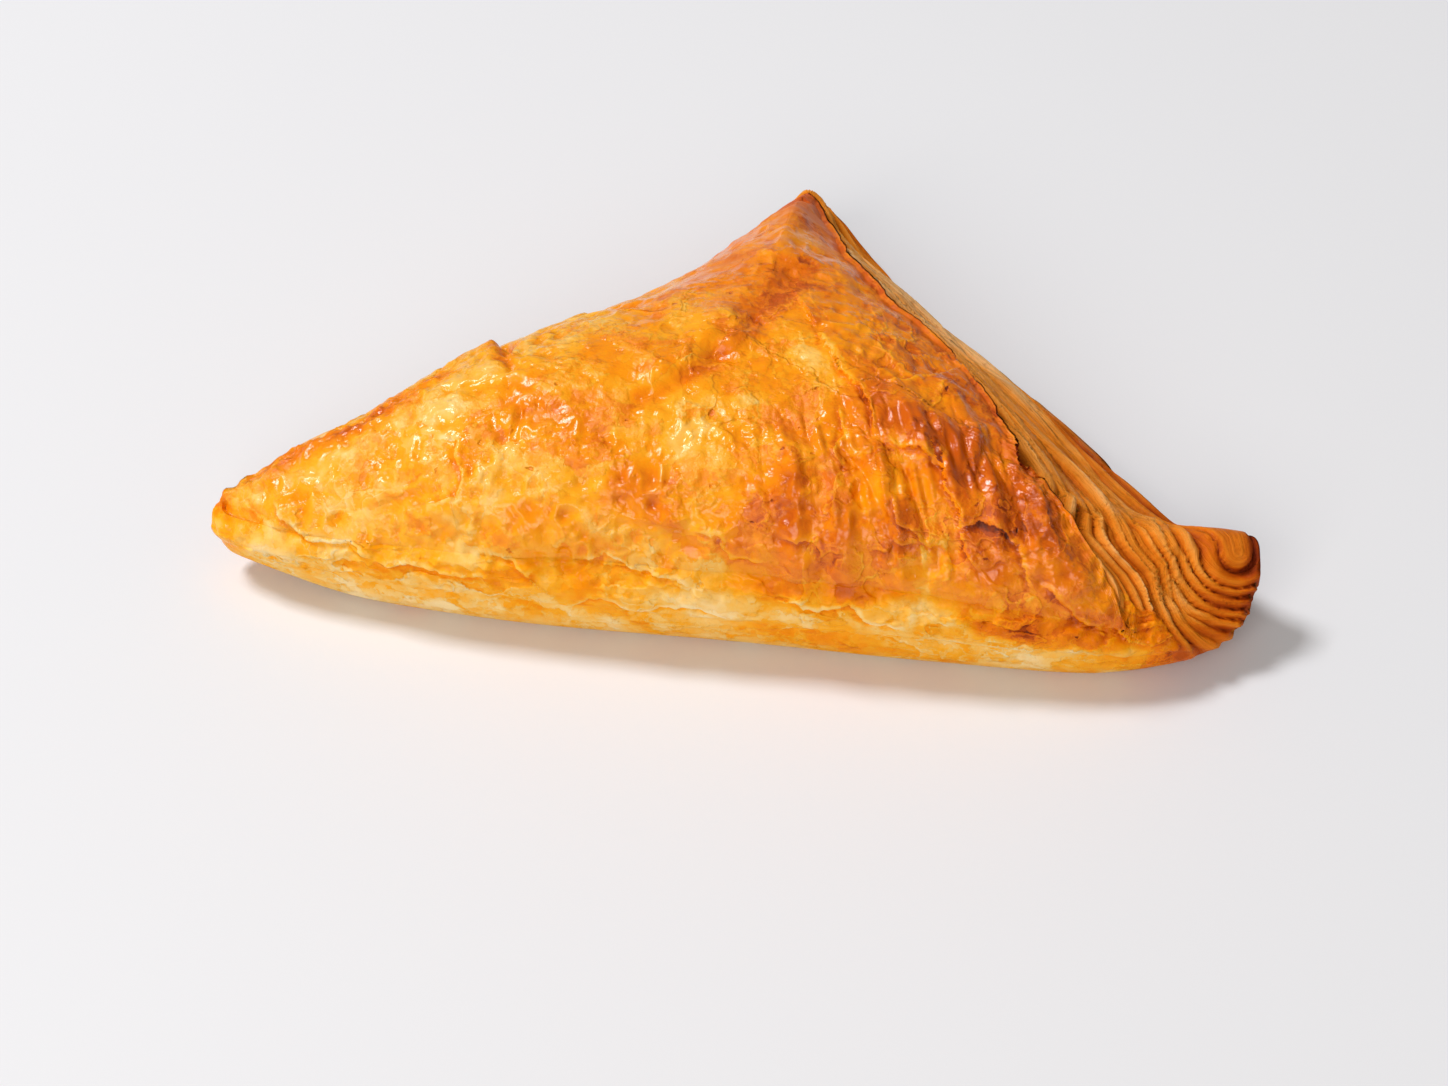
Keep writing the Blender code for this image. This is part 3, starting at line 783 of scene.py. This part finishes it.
cut_amount = np.where(near_cut, on_cut, 0)
edge_sheet = np.exp(-(((to_edge - 1.7) / 0.6) ** 2))
edge_sheet *= smooth(1.5, 1.6, place_of) * smooth(2.02, 1.97, place_of)
# Layer heights for the colour of the cut faces: raised sheets get painted highlight, and the gaps under the
# crust's edge and at the fold's mouth get painted shade.
layer_light_and_shade = strands * ridge_room - mouth_gap - 0.7 * edge_gap + 0.8 * edge_sheet
near_apex = np.maximum(smooth(42, 10, from_apex), 0.6 * shoulder)
dryness = 0.20 * smooth(1.42, 1.55, place_of) * smooth(10, 40, from_apex) - 0.06 * smooth(30, 8, from_right)
dryness -= 0.30 * smooth(0.70, 0.90, cut_place) * smooth(1.55, 1.40, place_of) + 0.25 * smooth(77.5, 79.5, x)
fields = {"browning_and_shade": browning_and_shade, "cut": cut_amount, "strands": layer_light_and_shade, "layer": sheet_place, "along": along}
fields.update({"edge_a": edge_a, "edge_b": edge_b, "edge_c": edge_c, "edge_d": edge_d, "torn": torn})
fields.update({"blister": blister, "tear_seen": tear_seen, "near_apex": near_apex, "pale": low_strip})
fields["dryness"] = dryness - 0.10 * near_apex
uncut = {**fields, "cut": np.zeros(len(points))}
middle_row = CROWN_ROWS // 2
pieces = (
    net_piece("glazed_top_sheet", 0, middle_row, uncut),
    net_piece("glazed_shoulders", middle_row, CROWN_ROWS, uncut),
    net_piece("layered_sides", CROWN_ROWS, ROWS, fields),
)
for piece in pieces:
    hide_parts("pastry")

# %% [markdown]
# ## Materials
# A material is a graph of nodes. The helpers each add one node to the crust's graph and give back its result.
# Colours are written as the hex codes one would read off a screen, and turned into the linear values that
# light adds up in.

# %% Helpers for the node graph
crust = bpy.data.materials.new("egg_washed_crust")
crust.use_nodes = True
crust_graph = crust.node_tree


def linear(code):
    """A hex colour as linear red, green, blue and an alpha of one."""
    parts = [int(code[i : i + 2], 16) / 255 for i in (1, 3, 5)]
    return (*[c / 12.92 if c <= 0.04045 else ((c + 0.055) / 1.055) ** 2.4 for c in parts], 1.0)


def add(kind, links=None, **settings):
    """Adds a node, with its inputs linked to other nodes' outputs or set to numbers and colours."""
    node = crust_graph.nodes.new("ShaderNode" + kind)
    for name, value in settings.items():
        setattr(node, name, value)
    for key, value in (links or {}).items():
        if isinstance(value, bpy.types.NodeSocket):
            crust_graph.links.new(value, node.inputs[key])
        else:
            node.inputs[key].default_value = value
    return node


def ramp(factor, stops):
    """A colour ramp from (position, hex colour) stops, and its colour output."""
    node = add("ValToRGB", {0: factor})
    elements = node.color_ramp.elements
    while len(elements) < len(stops):
        elements.new(0.5)
    for element, (position, code) in zip(elements, stops):
        element.position = position
        element.color = linear(code)
    return node.outputs["Color"]


def math_node(operation, first, second=0.0, third=0.0):
    """One step of arithmetic, and its result."""
    return add("Math", {0: first, 1: second, 2: third}, operation=operation).outputs[0]


def step(value, low_edge, high_edge):
    """0 below low_edge, 1 above high_edge and an S-shaped step between them."""
    links = {"Value": value, "From Min": low_edge, "From Max": high_edge}
    return add("MapRange", links, interpolation_type="SMOOTHSTEP").outputs[0]


def noise_at(where, size_mm, detail=4.0, roughness=0.55, distortion=0.0, output="Fac"):
    """Noise whose lumps are size_mm across, about 0.5 on average."""
    links = {"Vector": where, "Scale": 1000 / size_mm, "Detail": detail, "Roughness": roughness}
    return add("TexNoise", {**links, "Distortion": distortion}).outputs[output]


def mixed(factor, first, second):
    """Two colours mixed by a factor."""
    links = {0: factor, 6: first, 7: second}
    return add("Mix", links, data_type="RGBA", clamp_result=True).outputs[2]


# %% [markdown]
# The crust is a glossy glaze over dough. Its colour comes from the browning field, shifted by torn plates
# and mottling, and its bumps are plate edges, fine wrinkles and pits. The torn edges are found again from the
# distances on the skin: a lip is a narrow band just inside an edge, and a foot is one just outside it. A lip
# is painted paler, partly for the thin edge of the sheet and partly as a painted highlight where the edge
# catches the light. A foot is painted darker, as painted shade under the edge.

# %% The crust material
surface = crust_graph.nodes["Principled BSDF"]
where = add("TexCoord").outputs["Object"]
field = {name: add("Attribute", attribute_name=name).outputs["Fac"] for name in fields}
MOTTLE_SIZE = 9.0
BREAK_SIZE = 6.0
FINE_SIZE = 1.5
RAGGED_SIZE = 0.9
mottle = noise_at(where, MOTTLE_SIZE, 5.0, 0.6)
fine = noise_at(where, FINE_SIZE, 4.0, 0.6)
ragged = noise_at(where, RAGGED_SIZE, 3.0, 0.6)
breaks = noise_at(where, BREAK_SIZE, 3.0, 0.6)


def times(first, second):
    """One value times another."""
    return math_node("MULTIPLY", first, second)


def below(value, low_edge, high_edge):
    """1 below low_edge, 0 above high_edge and an S-shaped step between them."""
    return math_node("SUBTRACT", 1.0, step(value, low_edge, high_edge))


def varied(value, pattern, amount):
    """The value with a pattern from 0 to 1 added, which takes away as much as it gives."""
    return math_node("ADD", value, math_node("MULTIPLY_ADD", pattern, amount, -amount / 2))


def band(value, start, rise, fall, end):
    """1 between rise and fall, easing to 0 at start and at end."""
    return times(step(value, start, rise), below(value, fall, end))


def largest(values):
    """The largest of several values."""
    while len(values) > 1:
        values = [math_node("MAXIMUM", values[0], values[1]), *values[2:]]
    return values[0]


seen = times(step(breaks, 0.47, 0.58), field["torn"])
wander = math_node("ADD", ragged, -0.5)
plate_edges = [math_node("ADD", field[name], wander) for name in ("edge_a", "edge_b", "edge_c")]
# Painted highlight: the lip is made paler, partly for the thin sheet edge and partly for light caught on it.
lip_and_highlight = largest([times(band(e, -0.02, 0.08, 0.25, 0.60), seen) for e in plate_edges])
# Painted shade: the foot, just outside each plate edge, is made darker, as the shadow under the edge.
foot = largest([times(band(e, -0.50, -0.20, -0.10, 0.02), seen) for e in plate_edges])
on_plate = [times(step(e, -0.1, 0.1), field["torn"]) for e in plate_edges]
tear_edge = math_node("ADD", field["edge_d"], wander)
# Painted highlight: a long tear's lip is made paler, partly as thin sheet edge and partly as light caught on
# it.
tear_lip_and_highlight = times(band(tear_edge, -0.05, 0.10, 0.40, 1.00), field["tear_seen"])
# Painted shade: the foot under a long tear is made darker, as the shadow beneath its edge.
tear_foot_shade = times(band(tear_edge, -1.20, -0.40, -0.10, 0.02), field["tear_seen"])
print("crust nodes for the edges:", len(crust_graph.nodes))

# %% [markdown]
# Each patch of glaze browned a little more or less than its neighbour. A Voronoi texture splits the skin
# into such patches; warping the place it is read at by noise makes their borders ragged. Other sizes of it
# make loose chips, chips drawn out by rolling, open pits and the small bubbles of a blister.

# %% Patches, pits and bubbles
WARP_SIZE = 4.0
WARP_REACH = 7.0 * MM
PATCH_SIZE = 8.0
CHIP_SIZE = 3.0
ROLLED_SIZE = 2.4
PIT_SIZE = 4.6
BUBBLE_SIZE = 1.5
warp = noise_at(where, WARP_SIZE, 4.0, 0.6, output="Color")
moved = {0: warp, 1: (WARP_REACH,) * 3, 2: where}
warped = add("VectorMath", moved, operation="MULTIPLY_ADD").outputs[0]


def cells(vector, size_mm, output="Distance", feature="F1"):
    """A Voronoi texture with cells size_mm across."""
    node = add("TexVoronoi", {"Vector": vector, "Scale": 1000 / size_mm}, feature=feature)
    return node.outputs[output]


def cell_values(vector, size_mm):
    """A random number from 0 to 1 for each cell."""
    return add("SeparateColor", {0: cells(vector, size_mm, "Color")}).outputs[0]


patch = cell_values(warped, PATCH_SIZE)
chip = cell_values(warped, CHIP_SIZE)
chipped = step(noise_at(where, 6.0, 3.0), 0.40, 0.56)
chip_border = cells(warped, CHIP_SIZE, feature="DISTANCE_TO_EDGE")
chip_rim = times(below(chip_border, 0.02, 0.09), times(step(chip, 0.35, 0.55), chipped))
chip = times(math_node("ADD", chip, -0.5), chipped)
stretched = add("VectorMath", {0: warped, 1: (0.36, 1.0, 1.5)}, operation="MULTIPLY").outputs[0]
rolled = times(math_node("ADD", cell_values(stretched, ROLLED_SIZE), -0.5), field["pale"])
pit = times(below(cells(warped, PIT_SIZE), 0.05, 0.13), step(breaks, 0.50, 0.60))
bubble = below(cells(where, BUBBLE_SIZE), 0.08, 0.24)
bubble = times(bubble, step(noise_at(where, 3.5, 2.0), 0.52, 0.62))
bubble = times(bubble, math_node("MULTIPLY_ADD", field["blister"], 0.9, 0.25))
print("crust nodes with patches:", len(crust_graph.nodes))

# %% [markdown]
# Heat is one number for each spot: the browning field, mottled by noise and shifted by every mask, up for
# browner and down for paler. Some masks are painted light and shade: the lips of torn edges are made paler,
# partly as painted highlight, and their feet darker, as painted shade. A ramp turns it into colour, from pale
# dough to dark brown, so each shift stays among the colours that baked glaze really has.

# %% Colour of the crust
MOST_HEAT = 0.78
heat_and_shade = varied(varied(varied(field["browning_and_shade"], mottle, 0.60), patch, 0.14), fine, 0.22)
heat_and_shade = math_node("MINIMUM", heat_and_shade, MOST_HEAT)
# Among these shifts the lips are partly painted highlight and the feet are painted shade.
shifts = (
    (on_plate[0], 0.05),
    (on_plate[1], -0.06),
    (on_plate[2], -0.04),
    (chip, 0.20),
    (rolled, 0.15),
    (tear_lip_and_highlight, -0.17),
    (tear_foot_shade, 0.14),
    (chip_rim, -0.12),
    (lip_and_highlight, -0.11),
    (foot, 0.05),
    (pit, 0.26),
)
for mask, shift in shifts:
    heat_and_shade = math_node("MULTIPLY_ADD", mask, shift, heat_and_shade)
BAKED = (
    (0.00, "#FBDDA2"),
    (0.20, "#FAC462"),
    (0.34, "#FCAC20"),
    (0.47, "#FA9806"),
    (0.58, "#F28804"),
    (0.68, "#E67604"),
    (0.80, "#CC5A00"),
    (0.90, "#9C3A00"),
    (1.00, "#521A02"),
)
crust_colour = ramp(heat_and_shade, BAKED)
BLISTER_COLOUR = linear("#CC600E")
APEX_COLOUR = linear("#D44C00")
crust_colour = mixed(times(field["blister"], 0.30), crust_colour, BLISTER_COLOUR)
crust_colour = mixed(times(field["near_apex"], 0.40), crust_colour, APEX_COLOUR)

# %% [markdown]
# On the cut faces the sheets are painted lighter where they stand out and darker in the gaps, under the
# crust's edge and at the fold's mouth: painted highlight and painted shade. Thin lines run along them. The
# lines are noise read in layer coordinates, so they follow every bend of the fold.

# %% Colour of the layers
LINES_A_SHEET = 6.0
LINES_A_MM = 0.06
line_row = times(field["layer"], LINES_A_SHEET)
line_run = times(field["along"], LINES_A_MM)
lines_at = add("CombineXYZ", {0: line_row, 1: line_run, 2: field["cut"]}).outputs[0]
lines = add("TexNoise", {"Vector": lines_at, "Scale": 1.0, "Detail": 4.0, "Roughness": 0.62}).outputs["Fac"]
# Painted light and shade: the layers' colour follows their heights, lighter where they stand out and darker in
# the gaps.
layer_tone_and_shade = add("MapRange", {"Value": field["strands"], "From Min": -1.5, "From Max": 0.9}).outputs[0]
layer_tone_and_shade = varied(varied(layer_tone_and_shade, lines, 0.36), mottle, 0.5)
layer_tone_and_shade = math_node("ADD", layer_tone_and_shade, field["dryness"])
LAYERED = (
    (0.00, "#702000"),
    (0.22, "#AC4404"),
    (0.42, "#D66A08"),
    (0.60, "#EC861A"),
    (0.80, "#F69E40"),
    (1.00, "#F8BC78"),
)
colour = mixed(field["cut"], crust_colour, ramp(layer_tone_and_shade, LAYERED))
crust_graph.links.new(colour, surface.inputs["Base Color"])

# %% [markdown]
# What is finer than the net is a bump, which changes how light falls but not the outline. The glaze shines
# where it stayed smooth, so one mask makes the rest rougher and more wrinkled together. A little light also
# passes through the dough, which keeps the shadows warm.

# %% Bumps and gloss of the crust
WRINKLE_SIZE = 0.8
SMOOTH_GLAZE = 0.14
matte = step(breaks, 0.44, 0.62)
wrinkle = noise_at(where, WRINKLE_SIZE, 3.0, 0.6, 1.5)
height = times(fine, math_node("MULTIPLY_ADD", matte, 0.20, 0.14))
lifts = (
    (on_plate[0], 0.05),
    (on_plate[1], 0.04),
    (on_plate[2], 0.04),
    (patch, 0.16),
    (chip, 0.34),
    (rolled, 0.34),
    (chip_rim, 0.03),
    (lip_and_highlight, 0.05),
    (pit, -0.30),
    (bubble, 0.12),
)
for mask, lift in lifts:
    height = math_node("MULTIPLY_ADD", mask, lift, height)
height = math_node("MULTIPLY_ADD", math_node("MULTIPLY_ADD", matte, 0.06, 0.02), wrinkle, height)
height = math_node("MULTIPLY_ADD", times(field["cut"], 0.5), lines, height)
bump = add("Bump", {"Strength": 1.0, "Distance": MM, "Height": height})
crust_graph.links.new(bump.outputs[0], surface.inputs["Normal"])
gloss = math_node("MULTIPLY_ADD", matte, 0.30, SMOOTH_GLAZE)
gloss = math_node("MULTIPLY_ADD", field["near_apex"], 0.55, gloss)
gloss = math_node("MULTIPLY_ADD", field["blister"], -0.04, gloss)
gloss = math_node("MULTIPLY_ADD", math_node("MAXIMUM", field["cut"], field["pale"]), 0.35, gloss)
crust_graph.links.new(gloss, surface.inputs["Roughness"])
GLAZE = {
    "IOR": 1.45,
    "Specular IOR Level": 0.38,
    "Subsurface Weight": 0.15,
    "Subsurface Radius": (1.0, 0.60, 0.25),
    "Subsurface Scale": 1.5 * MM,
}
for name, value in GLAZE.items():
    surface.inputs[name].default_value = value
DRY_REFLECTION = 0.12
dry_layers = crust.copy()
dry_layers.name = "dry_layers"
dry_surface = dry_layers.node_tree.nodes["Principled BSDF"]
dry_surface.inputs["Specular IOR Level"].default_value = DRY_REFLECTION
for piece, material in zip(pieces, (crust, crust, dry_layers)):
    piece.data.materials.append(material)
print("crust nodes:", len(crust_graph.nodes))

# %% [markdown]
# ## Table, light and camera
# The pastry lies on a plain white table, one large matte square, which takes soft shadows and mirrors nothing.

# %% The table
bpy.ops.mesh.primitive_plane_add(size=6.0, location=(0, 0, 0))
table = bpy.context.object
table.name = "white_table"
white = bpy.data.materials.new("white_table")
white.use_nodes = True
white_surface = white.node_tree.nodes["Principled BSDF"]
white_surface.inputs["Base Color"].default_value = linear("#E8E9EC")
white_surface.inputs["Roughness"].default_value = 0.6
table.data.materials.append(white)

# %% [markdown]
# A softbox at the upper left gives each ridge a bright side and its small glints. A wide, weaker panel in
# front fills the shadows, and an even room light keeps them from going black.

# %% Soft light
ROOM_LIGHT = 0.24
world = bpy.data.worlds.new("soft_room")
bpy.context.scene.world = world
world.use_nodes = True
world.node_tree.nodes["Background"].inputs["Color"].default_value = linear("#FFFBF7")
world.node_tree.nodes["Background"].inputs["Strength"].default_value = ROOM_LIGHT


def area_light(name, position, target, width, height, watts, colour_code):
    """A rectangular lamp at a position in metres, turned to face a target."""
    lamp = bpy.data.lights.new(name, "AREA")
    lamp.shape = "RECTANGLE"
    lamp.size, lamp.size_y = width, height
    lamp.energy = watts
    lamp.color = linear(colour_code)[:3]
    holder = bpy.data.objects.new(name, lamp)
    holder.location = position
    holder.rotation_euler = (Vector(target) - Vector(position)).to_track_quat("-Z", "Y").to_euler()
    bpy.context.scene.collection.objects.link(holder)


area_light("main_softbox", (-1.05, 0.30, 1.65), (0, 0, 0.01), 0.50, 0.50, 27.0, "#FDFDFF")
area_light("front_fill", (-0.40, -1.75, 1.15), (0, 0, 0.01), 1.40, 1.00, 22.0, "#FFFAF4")

# %% [markdown]
# The camera looks down from the front, a little to the right. A long lens from half a metre away keeps the
# near side from looking larger than the far one.

# %% Camera
CAMERA_LENS = 80
CAMERA_TURN = 5.0
CAMERA_RISE = 43.5
CAMERA_DISTANCE = 0.50
turn, rise = math.radians(CAMERA_TURN), math.radians(CAMERA_RISE)
back = Vector((math.sin(turn) * math.cos(rise), -math.cos(turn) * math.cos(rise), math.sin(rise)))
camera = bpy.data.cameras.new("camera")
camera.lens = CAMERA_LENS
camera_holder = bpy.data.objects.new("camera", camera)
camera_holder.location = Vector(-BOX_MIDDLE * MM) + back * CAMERA_DISTANCE
camera_holder.rotation_euler = back.to_track_quat("Z", "Y").to_euler()
bpy.context.scene.collection.objects.link(camera_holder)
bpy.context.scene.camera = camera_holder
bpy.context.scene.view_settings.view_transform = "Standard"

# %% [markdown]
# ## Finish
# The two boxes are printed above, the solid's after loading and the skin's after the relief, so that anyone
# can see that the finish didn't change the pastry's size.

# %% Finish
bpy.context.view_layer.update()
print("seconds:", round(time.time() - STARTED, 1))
